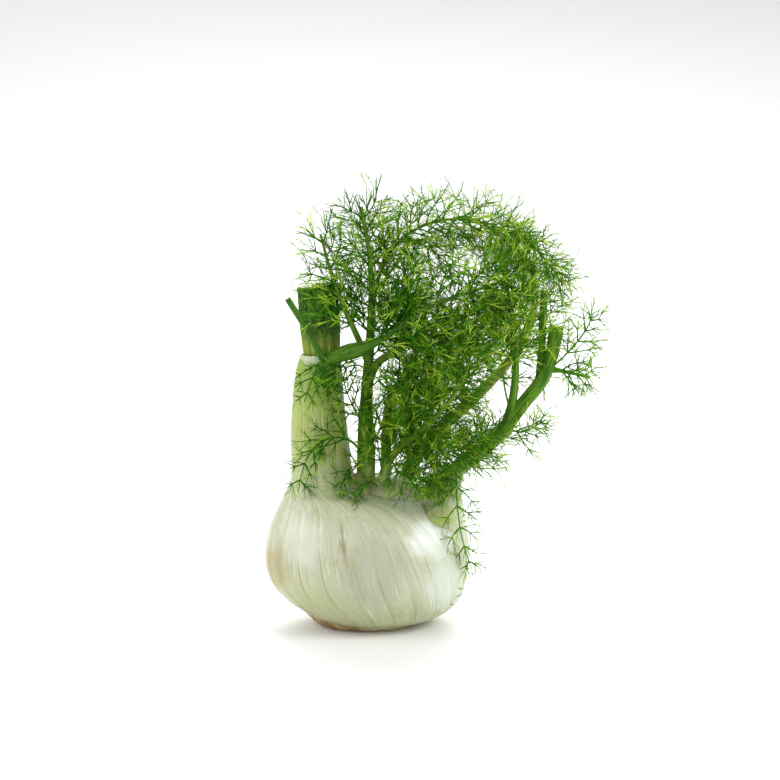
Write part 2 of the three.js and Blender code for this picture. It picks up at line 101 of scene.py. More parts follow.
# Ellipses from the root up: centre x, y, z, half width, half depth, tilt in degrees.
ROOT_PLATE = [
    (2, 0, 0, 20, 15, 0),
    (0, 0, 1.6, 25.5, 18.5, 1.5),
    (-4.6, 0, 5.2, 29.2, 20.5, -7),
    (-3, 0, 8.5, 26, 18.5, -7),
]
HEART = [
    (3, 0.5, 5, 18, 12, 0),
    (3, 0.5, 13, 28, 20, 0),
    (2, 0.5, 25, 36, 25, 0),
    (2, 0.5, 38, 38, 27, 0),
    (3, 0.5, 50, 33, 24, 0),
    (6, 0.5, 60, 26.5, 19.5, -3),
    (8, 1, 67.5, 21, 15.5, -6),
    (8.5, 1, 72.5, 17.5, 12.5, -6),
    (9, 1, 75.5, 11, 8, -5),
]
HEART_LOBE = [
    (-3.5, -8, 58, 6, 5, 0),
    (-4, -9.5, 66, 6.5, 6, 0),
    (-4.5, -10.5, 72, 6, 5.2, 0),
    (-4.8, -10.8, 77, 4.6, 4, 0),
    (-5, -10.8, 80, 2, 1.8, 0),
]
RIGHT_BASE = [
    (14, 5, 2.2, 16, 12, 0),
    (15, 6, 6, 23.5, 18.5, 0),
    (16.5, 7, 15, 28.8, 24, 0),
    (18.5, 8, 25, 31.5, 27, 0),
    (19, 8, 37, 32.6, 28, 0),
    (20.5, 7, 48, 29.5, 25.5, 0),
    (25.5, 4, 57, 22.5, 21.5, 0),
    (32.5, 2, 63, 15.5, 15, -3),
    (37, 1.5, 68, 10, 10.2, -8),
    (39.5, 1, 73.5, 7.8, 8, -22),
    (43, 0.3, 79, 6, 6.2, -42),
]
OUTER_BASE = [
    (3, 0, 1, 17, 13, 0),
    (3, -0.5, 3.5, 28, 20, 0),
    (3.8, -1, 8, 36.8, 25.5, 0),
    (2, -1.5, 15, 44.3, 30, 0),
    (-0.3, -2, 25, 49.7, 33, 0),
    (-1.2, -2, 37, 50.6, 34, 0),
    (-2, -2, 49, 47.8, 32.5, -2),
    (-3.5, -1.5, 58, 42.2, 28, -3),
    (-5.8, -1.5, 64, 37, 24, -2),
    (-9.5, -1.5, 67.8, 31.7, 21, -2),
    (-18.5, -1.2, 71.5, 21.3, 16.3, -1),
    (-22.1, -1, 76, 16.4, 14, 0),
    (-23.3, -1, 82, 14.8, 12.8, 0),
    (-24, -1, 94, 14.2, 12, 0),
    (-24.9, -1, 115, 12.6, 11, 0),
    (-24.5, -1, 130, 11, 10, 0),
    (-23.4, -1, 139, 10, 9.4, 4),
]
CUT_STALK = [
    (-24.4, -1, 104, 7.2, 6.4, 0),
    (-23.6, -1, 134, 7.4, 6.8, 0),
    (-23.2, -1, 142, 8.8, 7.6, 2),
    (-23.9, -1, 155, 9.5, 7.9, 3),
    (-25.2, -1, 173.5, 9.5, 7.7, 8),
]
COLLAR = (-21, -12.6, 131)


def stem(path, thick, fine, leafy=None, pairs=0, reach=0, leaflet=0, face=(0, -1, 0), spread=0,
         twice=False, **more):
    """A tapered stem in millimetres; from the share `leafy` on it carries pairs of side ribs with leaflets.
    `face` is the way the blade faces, and `spread` how far ribs swing out of it, in degrees. A stem that
    is feathered `twice` has as many ribs again. It may also say: `root`, a first point sunk into what it
    grows from; `swell`, a spot, width and amount; `waist`, where it narrows and to what; and `slim`."""
    return dict(path=path, thick=thick, fine=fine, leafy=leafy, pairs=pairs, reach=reach,
                leaflet=leaflet, face=face, spread=spread, twice=twice, **more)


# Each leaf's seed and stems; small stems late in a list fill the foliage out beyond the solids.
LEAVES = {
    "outer_leaf": (11, [
        stem([COLLAR, (-18.5, -13.2, 137.5), (-11.5, -15.5, 141.5), (-1.5, -19, 145), (12, -21, 152.5),
              (25, -21, 163.5), (41, -20, 169.5), (56, -18, 174), (69, -14, 179), (80, -10, 185)],
             3.9, 0.7, 0.36, 11, 33, 12, (0, -1, 0.2), 60, root=(-22, -8, 127),
             swell=(0.29, 0.09, 0.35), waist=(0.33, 0.5)),
        stem([(12, -21, 152.5), (24, -25, 150), (38, -26, 146), (52, -24, 146)],
             1.3, 0.6, 0.2, 6, 19, 10, (0, -1, 0), 65),
        stem([COLLAR, (-22.5, -13.4, 139), (-30, -14, 153.5), (-39, -15, 168.5)], 1.9, 1.5,
             root=(-20, -8, 126)),
        stem([(-19.5, -13, 136), (-23, -17.5, 138), (-27, -19, 129), (-31, -19, 118)],
             1.4, 0.6, 0.3, 3, 13, 7, (0, -1, 0), 25),
    ]),
    "upright_leaf": (23, [
        stem([(-1.5, -3, 62), (-1, -3.5, 84), (-1, -5, 110), (0.5, -6, 137), (2, -4, 163), (1, -2, 188),
              (-3, 0, 212)], 4.3, 0.7, 0.56, 10, 28, 13, (0, -1, 0), 70, swell=(0.2, 0.16, 0.3)),
        stem([(-0.6, -5.6, 124), (5, -10.5, 136), (16, -11.5, 143), (31, -9, 153), (46, -5, 163)],
             2.5, 0.6, 0.36, 5, 24, 11, (0, -1, 0.3), 55),
        stem([(0.4, -6, 136), (-6.5, -9, 152), (-13.5, -9, 168), (-19, -7, 184), (-23, -5, 199)],
             1.8, 0.6, 0.25, 7, 21, 12, (0, -1, 0), 50),
        stem([(-1.4, -3.3, 86), (-7, -12.5, 96), (-15, -17.5, 100), (-24, -18.5, 97), (-31, -19, 87),
              (-34.5, -20, 73)], 1.6, 0.5, 0.25, 6, 14, 8, (0, -1, 0), 20),
        stem([(-1.2, -3.6, 90), (5, -9, 100), (11, -13, 113), (15, -15, 126)],
             1.2, 0.5, 0.2, 5, 16, 9, (0, -1, 0), 50),
        stem([(-1, -4.5, 102), (-6, -9, 111), (-11, -12, 124), (-14, -14, 138)],
             1.2, 0.5, 0.2, 5, 15, 9, (0, -1, 0), 50),
        stem([(-1.3, -3.2, 76), (-5, -9, 84), (-10, -15, 82), (-14, -19, 74)],
             1.1, 0.5, 0.25, 3, 12, 7, (0, -1, 0), 40),
        stem([(0, -5.8, 132), (-6, -11, 135), (-14, -15, 132), (-22, -17.5, 124)],
             1.1, 0.5, 0.25, 4, 13, 8, (0, -1, 0), 40),
        stem([(0, -5.6, 122), (7, -12, 128), (15, -15, 128), (23, -15, 122)],
             1.1, 0.5, 0.2, 6, 15, 9, (0, -1, 0), 60),
        stem([(0.5, -6, 137), (8, -14, 146), (16, -18, 158), (22, -18, 172)],
             1.2, 0.5, 0.15, 8, 18, 10, (0, -1, 0), 65),
        stem([(1.5, -5, 150), (9, -10, 162), (18, -12, 174), (25, -12, 188)],
             1.2, 0.5, 0.15, 8, 18, 10, (0, -1, 0), 65),
    ]),
    "right_leaf": (37, [
        stem([(38.5, 1.4, 66), (43.5, 0, 78.5), (54, -3, 88.5), (68, -7, 102)],
             4.6, 4, 0.4, 4, 22, 11, (0, -1, -0.2), 75),
        stem([(67.6, -7, 101.6), (71.5, -9, 116), (73, -9, 132.3), (72, -8, 150), (69.5, -6, 168),
              (65, -4, 188)], 2.6, 0.6, 0.4, 10, 29, 12, (0, -1, 0), 70),
        stem([(71, -8.6, 109.5), (67.5, -11.5, 124), (65, -14, 140), (58, -17, 154)],
             1.5, 0.6, 0.5, 4, 20, 10, (0, -1, 0), 60),
        stem([(67.6, -7, 101.6), (76.5, -6, 114), (86, -5, 126), (91, -4, 139), (93.5, -4, 153.5)],
             3.5, 3.6),
        stem([(85, -5, 125), (86.5, -1, 146), (87.5, 1, 170.5)], 2, 1.9),
        stem([(91, -4, 132), (99, -5, 130.5), (110, -6, 128)], 1.4, 0.6, 0.25, 4, 15, 9, (0, -1, 0), 60,
             slim=1),
        stem([(87, -4.6, 129), (97, -8, 139), (106, -9, 150), (111, -9, 160)],
             1.3, 0.6, 0.3, 4, 14, 9, (0, -1, 0), 55),
        stem([(68.5, -7, 102), (78, -10, 101.5), (88, -12, 108)],
             1.5, 0.6, 0.2, 4, 14, 9, (0, -1, 0), 80),
        stem([(44, 0, 79), (44, -9, 80), (44, -17, 70), (45.5, -20, 56), (48.5, -19, 43), (52, -15, 32)],
             1.4, 0.5, 0.25, 5, 13, 8, (0, -1, 0), 25),
        stem([(40.8, -14.5, 14.2), (42, -13.8, 13.6), (43.4, -12.6, 12.9)], 0.6, 0.4),
        stem([(43.4, -14.4, 17.8), (45.3, -11.8, 17.5), (47.2, -6.4, 16.6)], 0.6, 0.4),
        stem([(45.3, -14.2, 22), (46.7, -11.8, 21.3), (48, -8.8, 20.3)], 0.6, 0.4),
    ]),
    "front_leaf": (41, [
        stem([(6.5, -5.2, 64), (8, -7, 80), (14, -13, 92), (23, -20, 101), (34, -26, 113), (44, -28, 126),
              (50, -28, 140)], 2.7, 0.6, 0.3, 9, 28, 11, (0, -1, 0.2), 65, True),
        stem([(9, -8.5, 84), (11, -16, 88), (15, -22, 84), (19, -25, 76)],
             1.3, 0.5, 0.2, 4, 16, 8, (0, -1, 0), 40),
        stem([(14, -13, 92), (25, -20, 93), (37, -23, 93), (49, -23, 97), (58, -21, 103)],
             1.6, 0.5, 0.2, 7, 21, 10, (0, -1, 0), 60, True),
        stem([(18, -16.5, 96), (20, -22, 108), (20, -26, 122), (16, -28, 134)],
             1.3, 0.5, 0.2, 5, 19, 10, (0, -1, 0), 65),
        stem([(6.8, -5.8, 68), (3, -13, 76), (-3, -19, 76), (-9, -22, 70)],
             1.1, 0.5, 0.3, 3, 12, 7, (0, -1, 0), 40),
        stem([(8.2, -7.5, 82), (17, -16, 86), (26, -24, 82), (31, -27, 73)],
             1.1, 0.5, 0.25, 4, 14, 8, (0, -1, 0), 40),
        stem([(7.5, -6.6, 76), (6, -13, 88), (4, -18, 102), (0, -20, 114)],
             1.1, 0.5, 0.25, 5, 15, 9, (0, -1, 0), 50),
        stem([(9.5, -8.5, 86), (16, -14, 96), (22, -18, 108), (26, -21, 120)],
             1.1, 0.5, 0.2, 6, 16, 9, (0, -1, 0), 50),
        stem([(8, -6.8, 78), (17, -12, 82), (28, -17, 82), (38, -20, 77)],
             1.1, 0.5, 0.15, 6, 15, 9, (0, -1, 0), 60),
    ]),
    "centre_leaf": (53, [
        stem([(9.5, 2.4, 64), (9, 6, 88), (10, 8, 108), (14, 5, 121), (23, 1, 131), (36, -3, 141),
              (53, -5, 152), (67, -6, 160)], 3, 0.7, 0.42, 9, 28, 12, (0, -1, 0), 70, True),
        stem([(9, 7, 98), (17, 6, 108), (29, 3, 115), (42, 1, 121), (54, 0, 131)],
             1.8, 0.6, 0.3, 6, 20, 10, (0, -1, 0), 70),
        stem([(9, 5, 84), (16, 2, 92), (26, -2, 98), (38, -4, 100)],
             1.2, 0.5, 0.2, 7, 17, 9, (0, -1, 0), 60),
        stem([(9.3, 6, 92), (14, 8, 102), (24, 8, 110), (34, 7, 114)],
             1.2, 0.5, 0.2, 6, 16, 9, (0, -1, 0), 60),
    ]),
    "arching_leaf": (61, [
        stem([(-1, 6.4, 64), (0, 11, 96), (-0.5, 15, 129), (2, 13, 159), (8, 9, 183), (19, 5, 197.5),
              (36, 3, 205), (55, 2, 204.5), (72, 0, 198.5), (86, -3, 188), (96, -5, 174)],
             3.3, 0.7, 0.36, 14, 21, 11, (0, -1, 0), 75, True, slim=0.42),
        stem([(19, 5, 197.5), (32, 0, 190), (45, -3, 179), (55, -4, 166)],
             1.3, 0.6, 0.2, 6, 20, 11, (0, -1, 0), 65),
    ]),
    "back_leaf": (79, [
        stem([(17.5, 5.4, 62), (21, 12, 78), (33, 26, 92), (53, 37, 108), (74, 42, 130), (85, 40, 154),
              (84, 36, 175), (74, 30, 191), (58, 24, 201)], 4, 0.9, 0.42, 11, 26, 12, (0, 1, 0), 75),
        stem([(51, 36, 107), (46, 42, 122), (36, 46, 140), (24, 46, 158), (14, 42, 174)],
             2.2, 0.6, 0.3, 7, 24, 12, (0, 1, 0), 70),
    ]),
}


# Camera, light and floor, in metres and watts

CAMERA_TILT = math.radians(10)
CAMERA_REACH = 0.92
CAMERA_AIM = Vector((0.011, 0, 0.1206))
LENS = 85

# Name, place, width and power of each light.
LIGHTS = [
    ("right_window", (0.75, -0.3, 0.65), 0.4, 4.5),
    ("left_window", (-0.8, -0.1, 0.45), 0.5, 2.5),
    ("roof", (0.1, 0.9, 1.2), 1.4, 22),
]
LIGHT_AIM = Vector((0.02, 0, 0.1))
ROOM_LIGHT = 0.76

FLOOR_FRONT = -3
FLOOR_SIDE = 4
SWEEP_START = 1.2
SWEEP_RADIUS = 0.8
WALL_TOP = 3
PAPER_WHITE = 0.9
PAPER_ROUGHNESS = 0.7


def place_camera():
    scene = bpy.context.scene
    camera = bpy.data.objects.new("camera", bpy.data.cameras.new("camera"))
    camera.data.lens = LENS
    away = Vector((0, -math.cos(CAMERA_TILT), math.sin(CAMERA_TILT)))
    camera.location = CAMERA_AIM + away * CAMERA_REACH
    camera.rotation_euler = (-away).to_track_quat("-Z", "Y").to_euler()
    scene.collection.objects.link(camera)
    scene.camera = camera


def light_the_room():
    scene = bpy.context.scene
    for name, spot, size, power in LIGHTS:
        light = bpy.data.objects.new(name, bpy.data.lights.new(name, "AREA"))
        light.data.size = size
        light.data.energy = power
        light.location = spot
        light.rotation_euler = (LIGHT_AIM - light.location).to_track_quat("-Z", "Y").to_euler()
        scene.collection.objects.link(light)
    world = bpy.data.worlds.new("pale room")
    world.use_nodes = True
    background = world.node_tree.nodes["Background"]
    background.inputs["Color"].default_value = (1, 1, 1, 1)
    background.inputs["Strength"].default_value = ROOM_LIGHT
    scene.world = world
    scene.view_settings.view_transform = "Standard"


def lay_floor():
    """A pale floor that sweeps up behind the plant, so no horizon shows from the front."""
    turns = [math.radians(degrees) for degrees in range(0, 91, 6)]
    sweep = [(SWEEP_START + SWEEP_RADIUS * math.sin(turn), SWEEP_RADIUS - SWEEP_RADIUS * math.cos(turn))
             for turn in turns]
    profile = [(FLOOR_FRONT, 0), *sweep, (SWEEP_START + SWEEP_RADIUS, WALL_TOP)]
    corners = [(x, y, z) for y, z in profile for x in (-FLOOR_SIDE, FLOOR_SIDE)]
    faces = [(i, i + 1, i + 3, i + 2) for i in range(0, len(corners) - 2, 2)]
    mesh = bpy.data.meshes.new("floor")
    mesh.from_pydata(corners, [], faces)
    mesh.shade_smooth()
    paper = bpy.data.materials.new("pale paper")
    paper.use_nodes = True
    shader = paper.node_tree.nodes["Principled BSDF"]
    shader.inputs["Base Color"].default_value = (PAPER_WHITE, PAPER_WHITE, PAPER_WHITE, 1)
    shader.inputs["Roughness"].default_value = PAPER_ROUGHNESS
    mesh.materials.append(paper)
    floor = bpy.data.objects.new("floor", mesh)
    bpy.context.scene.collection.objects.link(floor)


# Numbers and curves

class Draws:
    """Repeatable random numbers, the same as for the solids where the seed and the order are the same."""

    def __init__(self, seed):
        self.state = seed

    def __call__(self, low, high):
        self.state = (self.state * 1664525 + 1013904223) % 2**32
        return low + (high - low) * self.state / 2**32


class Line:
    """A smooth curve through points, walked by its share from 0 to 1."""

    def __init__(self, points):
        self.points = [Vector(point) for point in points]
        walk = [self.at(i / 200) for i in range(201)]
        self.length = sum((b - a).length for a, b in zip(walk, walk[1:]))

    def at(self, share):
        last = len(self.points) - 1
        whole = min(int(last * share), last - 1) if share < 1 else last - 1
        t = last * share - whole
        p1, p2 = self.points[whole], self.points[whole + 1]
        p0 = self.points[whole - 1] if whole else 2 * p1 - p2
        p3 = self.points[whole + 2] if whole + 2 <= last else 2 * p2 - p1
        m1, m2 = 0.5 * (p2 - p0), 0.5 * (p3 - p1)
        return (p1 + m1 * t + (3 * (p2 - p1) - 2 * m1 - m2) * t**2 + (2 * (p1 - p2) + m1 + m2) * t**3)

    def along(self, share):
        low, high = max(share - 1e-4, 0), min(share + 1e-4, 1)
        return (self.at(high) - self.at(low)).normalized()


def bell(distance, width):
    return math.exp(-((distance / width) ** 2))


def roughly(place, size, seed=0):
    """Smooth noise from -1 to 1 at a place in millimetres, with lumps of the given size."""
    return noise.noise(Vector(place) / size + Vector((seed * 7.3, seed * 3.1, seed * 5.7)))


# Swollen leaf bases

def rings_of(sections, rows, sides, relief, twist=0):
    """Rings of points through a table of ellipses, raised by relief(turn, share, place)."""
    centres = Line([section[:3] for section in sections])
    extents = Line([(s[3], s[4], math.radians(s[5])) for s in sections])
    rings = []
    for row in range(rows + 1):
        share = row / rows
        centre, (width, depth, tilt) = centres.at(share), extents.at(share)
        ring = []
        for side in range(sides):
            turn = side / sides * 2 * math.pi
            lean = math.radians(twist) * (1 + 0.6 * math.cos(turn))
            angle = turn + lean * max(0, 1 - share / SHOULDER)
            flat = Vector((width * math.cos(angle), depth * math.sin(angle), 0))
            out = relief(turn, share, centre + flat)
            across = (width + out) * math.cos(angle)
            ring.append(centre + Vector((across * math.cos(tilt), (depth + out) * math.sin(angle),
                                         across * math.sin(tilt))))
        rings.append(ring)
    return rings


def closing_rings(ring, steps):
    """More rings that shrink a last ring by a share and move it up or down, in millimetres."""
    middle = sum(ring, Vector()) / len(ring)
    return [[middle + (point - middle) * shrink + Vector((0, 0, rise)) for point in ring]
            for shrink, rise in steps]


def wall_faces(rows, sides):
    """The faces between rings of points, row by row from the lowest."""
    faces = []
    for row in range(rows - 1):
        for side in range(sides):
            here = row * sides + side
            beside = row * sides + (side + 1) % sides
            faces.append((here, beside, beside + sides, here + sides))
    return faces


def wall_spots(rows, sides):
    """Where the corners of the wall's faces lie on the UV map: round each ring and up the rows."""
    spots = []
    for row in range(rows - 1):
        low, high = row / (rows - 1), (row + 1) / (rows - 1)
        for side in range(sides):
            left, right = side / sides, (side + 1) / sides
            spots += [(left, low), (right, low), (right, high), (left, high)]
    return spots


def skin(name, rings, finishes, node, closed_top=()):
    """A closed piece through rings. A second finish covers the rings that close the top."""
    sides = len(rings[0])
    wall = (len(rings) - 1) * sides
    rings = rings + closing_rings(rings[-1], closed_top)
    top = len(rings) - 1
    points = [point * MM for ring in rings for point in ring]
    turns = [side / sides * 2 * math.pi for side in range(sides)]
    facts = [(math.cos(turn), math.sin(turn), 0, row / top) for row in range(len(rings)) for turn in turns]
    faces = wall_faces(len(rings), sides)
    spots = wall_spots(len(rings), sides)
    for first, turn, level in [(0, -1, 0), (top * sides, 1, 1)]:
        middle = len(points)
        points.append(sum(points[first:first + sides], Vector()) / sides)
        facts.append((0, 0, 0, level))
        for side in range(sides):
            pair = [first + side, first + (side + 1) % sides][::turn]
            faces.append((*pair, middle))
            spots += [(side / sides, level)] * 3

    mesh = bpy.data.meshes.new(name)
    mesh.from_pydata(points, [], faces)
    uv = mesh.uv_layers.new(name="skin")
    uv.data.foreach_set("uv", [number for spot in spots for number in spot])
    around = mesh.attributes.new("round", "FLOAT_VECTOR", "POINT")
    around.data.foreach_set("vector", [number for fact in facts for number in fact[:3]])
    mesh.attributes.new("run", "FLOAT", "POINT").data.foreach_set("value", [fact[3] for fact in facts])
    mesh.shade_smooth()
    for finish in finishes:
        mesh.materials.append(finish)
    if len(finishes) > 1:
        underside = range(len(faces) - 2 * sides, len(faces) - sides)
        for face in mesh.polygons:
            face.material_index = int(face.index >= wall and face.index not in underside)
    piece = bpy.data.objects.new(name, mesh)
    bpy.context.scene.collection.objects.link(piece)
    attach(piece, "root")
    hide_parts(node)


def body_inside(rings):
    """Measures how far a point stands outside a closed skin, in millimetres; below 0 inside."""
    sides = len(rings[0])
    points = [point for ring in rings for point in ring]
    faces = wall_faces(len(rings), sides)
    faces.append(tuple(range(sides))[::-1])
    faces.append(tuple(range(len(points) - sides, len(points))))
    tree = BVHTree.FromPolygons(points, faces)

    def outside(place):
        nearest, normal, _, distance = tree.find_nearest(place)
        return math.copysign(distance, (place - nearest).dot(normal))
    return outside


def lipped(rings, neighbours, lip=LIP):
    """Raises a leaf base to a thin lip where it ends on its neighbours, and tucks in what is beyond.
    The gap is evened out over the width of a rib, so that grooves don't break the lip."""
    raised = []
    sides = len(rings[0])
    reach = sides // RIBS // 2
    for ring in rings:
        middle = sum(ring, Vector()) / sides
        gaps = [min(outside(point) for outside in neighbours) for point in ring]
        row = []
        for side, point in enumerate(ring):
            near = [gaps[(side + step) % sides] for step in range(-reach, reach + 1)]
            gap = sum(near) / len(near)
            if gap > 0:
                lift = lip * bell(gap, LIP_WIDTH)
            else:
                lift = max(lip + TUCK_SLOPE * gap, -DEEPEST_TUCK)
            row.append(point + (point - middle).normalized() * lift)
        raised.append(row)
    return raised


def crease(place):
    """A fold in the front of the outer base, with a bright ridge on either side."""
    if place.y > 0:
        return 0
    aside = place.x - CREASE_X + (place.z - CREASE_CROSSES) * CREASE_LEAN + 0.5 * roughly(place, 7, 9)
    fold = 0.8 * bell(abs(aside) - 2.2, 0.9) - 0.9 * bell(aside, 1.3)
    return bell(place.z - CREASE_MIDDLE, CREASE_REACH) * fold


def rib_relief(depth, seed, folds=lambda place: 0):
    """Broad ribs with a narrow groove between each two, unequal and faintly streaked.
    The grooves fade at the root and, to less than half their depth, towards the top."""
    def relief(turn, share, place):
        phase = turn / (2 * math.pi) * RIBS
        groove = round(phase)
        uneven = 0.65 + 0.5 * abs(roughly((groove % RIBS * 9, share * 30, seed), 5, seed))
        near = bell(phase - groove, 0.1) + 0.5 * bell(phase - groove, 0.33)
        upper = min(1, max(0, (share - 0.35) / 0.4))
        fade = min(1, share / 0.12) * (1 - 0.6 * upper * upper * (3 - 2 * upper))
        streaks = 0.09 * roughly((turn * 40, place.z / 14, seed), 1, seed)
        return 0.35 - depth * uneven * near * fade + streaks + 0.45 * roughly(place, 14, seed) + folds(place)
    return relief


# Finishes

def paint(code):
    """A colour from its web code, made linear."""
    parts = [int(code[i:i + 2], 16) / 255 for i in (1, 3, 5)]
    return (*[p / 12.92 if p <= 0.04045 else ((p + 0.055) / 1.055) ** 2.4 for p in parts], 1)


class Finish:
    """A procedural material, put together from plain steps."""

    def __init__(self, name, **sockets):
        self.material = bpy.data.materials.new(name)
        self.material.use_nodes = True
        self.tree = self.material.node_tree
        self.shader = self.tree.nodes["Principled BSDF"]
        for socket, value in sockets.items():
            self.shader.inputs[socket.replace("_", " ")].default_value = value
        self.place = self.step("ShaderNodeTexCoord").outputs["Object"]

    def step(self, kind, inputs=(), **settings):
        node = self.tree.nodes.new(kind)
        for setting, value in settings.items():
            setattr(node, setting, value)
        for socket, value in dict(inputs).items():
            self.set(node.inputs[socket], value)
        return node

    def set(self, socket, value):
        if isinstance(value, bpy.types.NodeSocket):
            self.tree.links.new(value, socket)
        else:
            socket.default_value = value

    def sum(self, operation, *values):
        return self.step("ShaderNodeMath", enumerate(values), operation=operation).outputs[0]

    def attribute(self, name, output="Fac"):
        return self.step("ShaderNodeAttribute", attribute_name=name).outputs[output]

    def patch(self, middle, size):
        """1 at a place on the piece, fading to 0 at a ragged edge `size` metres away along each axis."""
        mapped = self.step("ShaderNodeMapping", {
            "Vector": self.place,
            "Location": [-m / s for m, s in zip(middle, size)],
            "Scale": [1 / s for s in size],
        })
        far = self.step("ShaderNodeVectorMath", {0: mapped.outputs[0]}, operation="LENGTH").outputs["Value"]
        edge = self.sum("MULTIPLY_ADD", self.noise(120, 4), 0.7, -0.35)
        return self.between(self.sum("ADD", far, edge), 1.0, 0.35)

    def noise(self, scale, detail=3, stretch=(1, 1, 1), source=None, roughness=0.55):
        mapped = self.step("ShaderNodeMapping", {"Vector": source or self.place, "Scale": stretch})
        return self.step("ShaderNodeTexNoise", {
            "Vector": mapped.outputs[0], "Scale": scale, "Detail": detail, "Roughness": roughness,
        }).outputs["Fac"]

    def between(self, value, low, high, to_low=0.0, to_high=1.0):
        """Stretches the range from low to high onto another, without going past it."""
        return self.step("ShaderNodeMapRange", {
            "Value": value, "From Min": low, "From Max": high, "To Min": to_low, "To Max": to_high,
        }, interpolation_type="SMOOTHSTEP").outputs[0]

    def mix(self, share, first, second):
        node = self.step("ShaderNodeMix", data_type="RGBA")
        self.set(node.inputs["Factor"], share)
        self.set(node.inputs[6], first)
        self.set(node.inputs[7], second)
        return node.outputs[2]

    def bump(self, height, distance):
        node = self.step("ShaderNodeBump", {"Height": height, "Distance": distance, "Strength": 1.0})
        self.set(self.shader.inputs["Normal"], node.outputs[0])

    def colour(self, source):
        self.set(self.shader.inputs["Base Color"], source)

    def gloss(self, source):
        self.set(self.shader.inputs["Roughness"], source)


def bulb_finish(name, patches=()):
    """Waxy white flesh with greenish veins, turning green up the sheath, with painted sheen streaks along the
    veins.
    """
    finish = Finish(name, Subsurface_Weight=0.18, Subsurface_Radius=(0.004, 0.004, 0.002),
                    Subsurface_Scale=1.0, Coat_Weight=0.25, Coat_Roughness=0.22)
    height = finish.step("ShaderNodeSeparateXYZ", {0: finish.place}).outputs["Z"]
    around = finish.step("ShaderNodeUVMap", uv_map="skin").outputs["UV"]
    turn = finish.step("ShaderNodeSeparateXYZ", {0: around}).outputs["X"]
    phase = finish.sum("FRACT", finish.sum("MULTIPLY_ADD", turn, RIBS, 0.5))
    wide = finish.between(height, 0.062, 0.005, 0.03, 0.085)
    groove = finish.between(finish.sum("ABSOLUTE", finish.sum("SUBTRACT", phase, 0.5)), wide, 0.0)
    fibres = finish.noise(260, 4, (1, 1, 0.05))
    veins = finish.noise(1, 3, (210, 9, 1), around)
    cloud = finish.noise(38, 3)

    flesh = finish.mix(cloud, paint("#aeb28f"), paint("#cacdb4"))
    low = finish.between(height, 0.03, 0.0)
    flesh = finish.mix(finish.sum("MULTIPLY", low, 0.7), flesh, paint("#a6aa72"))
    rise = finish.sum("ADD", height, finish.sum("MULTIPLY", finish.sum("SUBTRACT", veins, 0.5), 0.03))
    green = finish.between(rise, 0.058, 0.098)
    flesh = finish.mix(finish.sum("MULTIPLY", green, 0.92), flesh, paint("#a6b650"))
    top = finish.between(rise, 0.1, 0.142)
    flesh = finish.mix(finish.sum("MULTIPLY", top, 0.9), flesh, paint("#8cac34"))
    vein = finish.between(veins, 0.53, 0.7)
    flesh = finish.mix(finish.sum("MULTIPLY", vein, 0.45), flesh, paint("#8c9f52"))
    # Painted sheen: lighter silvery streaks along the veins stand in for glints of light on the waxy flesh.
    painted_sheen_streaks = finish.between(veins, 0.44, 0.3, 0, 0.6)
    flesh = finish.mix(painted_sheen_streaks, flesh, paint("#dfe2d4"))
    uneven = finish.between(finish.noise(55, 3), 0.35, 0.65, 0.2, 0.9)
    in_groove = finish.sum("MULTIPLY", groove, uneven)
    flesh = finish.mix(in_groove, flesh, paint("#94a35e"))
    flesh = finish.mix(finish.between(fibres, 0.62, 0.8, 0, 0.3), flesh, paint("#e2e5dd"))
    for middle, size, tint, strength, *streaky in patches:
        spot = finish.sum("MULTIPLY", finish.patch(middle, size), strength)
        if streaky:
            spot = finish.sum("MULTIPLY", spot, finish.between(finish.noise(520, 3, (1, 1, 0.12)), 0.38, 0.6))
        flesh = finish.mix(spot, flesh, paint(tint))
    specks = finish.between(finish.noise(420, 2), 0.77, 0.8, 0, 0.7)
    flesh = finish.mix(specks, flesh, paint("#8f7a45"))
    finish.colour(flesh)
    finish.gloss(finish.between(finish.noise(90, 3), 0.3, 0.7, 0.24, 0.4))
    finish.bump(finish.sum("ADD", fibres, veins), 0.0004)
    return finish.material


def stalk_finish(name, dark, light, pale_from, pale_to, pale):
    """Green stalk, streaked along its ridges, and paler from one height in metres down to another."""
    finish = Finish(name, Specular_IOR_Level=0.16)
    around = finish.attribute("round", "Vector")
    run = finish.attribute("run")
    along = finish.step("ShaderNodeCombineXYZ", {"Z": finish.sum("MULTIPLY", run, 14)})
    spot = finish.step("ShaderNodeVectorMath", {0: around, 1: along.outputs[0]}, operation="ADD").outputs[0]
    streaks = finish.noise(5.5, 4, source=spot)
    cloud = finish.noise(70, 3)
    tint = finish.mix(finish.between(streaks, 0.35, 0.66), paint(dark), paint(light))
    tint = finish.mix(finish.between(cloud, 0.45, 0.75, 0, 0.45), tint, paint(light))
    height = finish.step("ShaderNodeSeparateXYZ", {0: finish.place}).outputs["Z"]
    rooted = finish.between(height, pale_from, pale_to)
    tint = finish.mix(finish.sum("MULTIPLY", rooted, 0.85), tint, paint(pale))
    finish.colour(tint)
    finish.gloss(finish.between(cloud, 0.3, 0.7, 0.34, 0.5))
    finish.bump(streaks, 0.00025)
    return finish.material


def leaflet_finish(name, deep, middle, young_and_highlight):
    """Thread-like leaflets: each thread a little lighter or darker than the next. The pale tint is partly
    young growth and partly painted highlight, and the deep tint also paints shade inside the spray.
    """
    finish = Finish(name, Roughness=0.6, Specular_IOR_Level=0.08)
    shade = finish.attribute("shade")
    cloud = finish.noise(45, 2)
    tint = finish.mix(finish.between(shade, 0.15, 0.7), paint(deep), paint(middle))
    # Painted highlight: some threads take the pale tint, partly for young growth and partly for light
    # catching them.
    tint = finish.mix(finish.between(finish.sum("ADD", shade, cloud), 1.05, 1.5), tint, paint(young_and_highlight))
    finish.colour(tint)
    finish.bump(finish.noise(900, 2), 0.00008)
    return finish.material


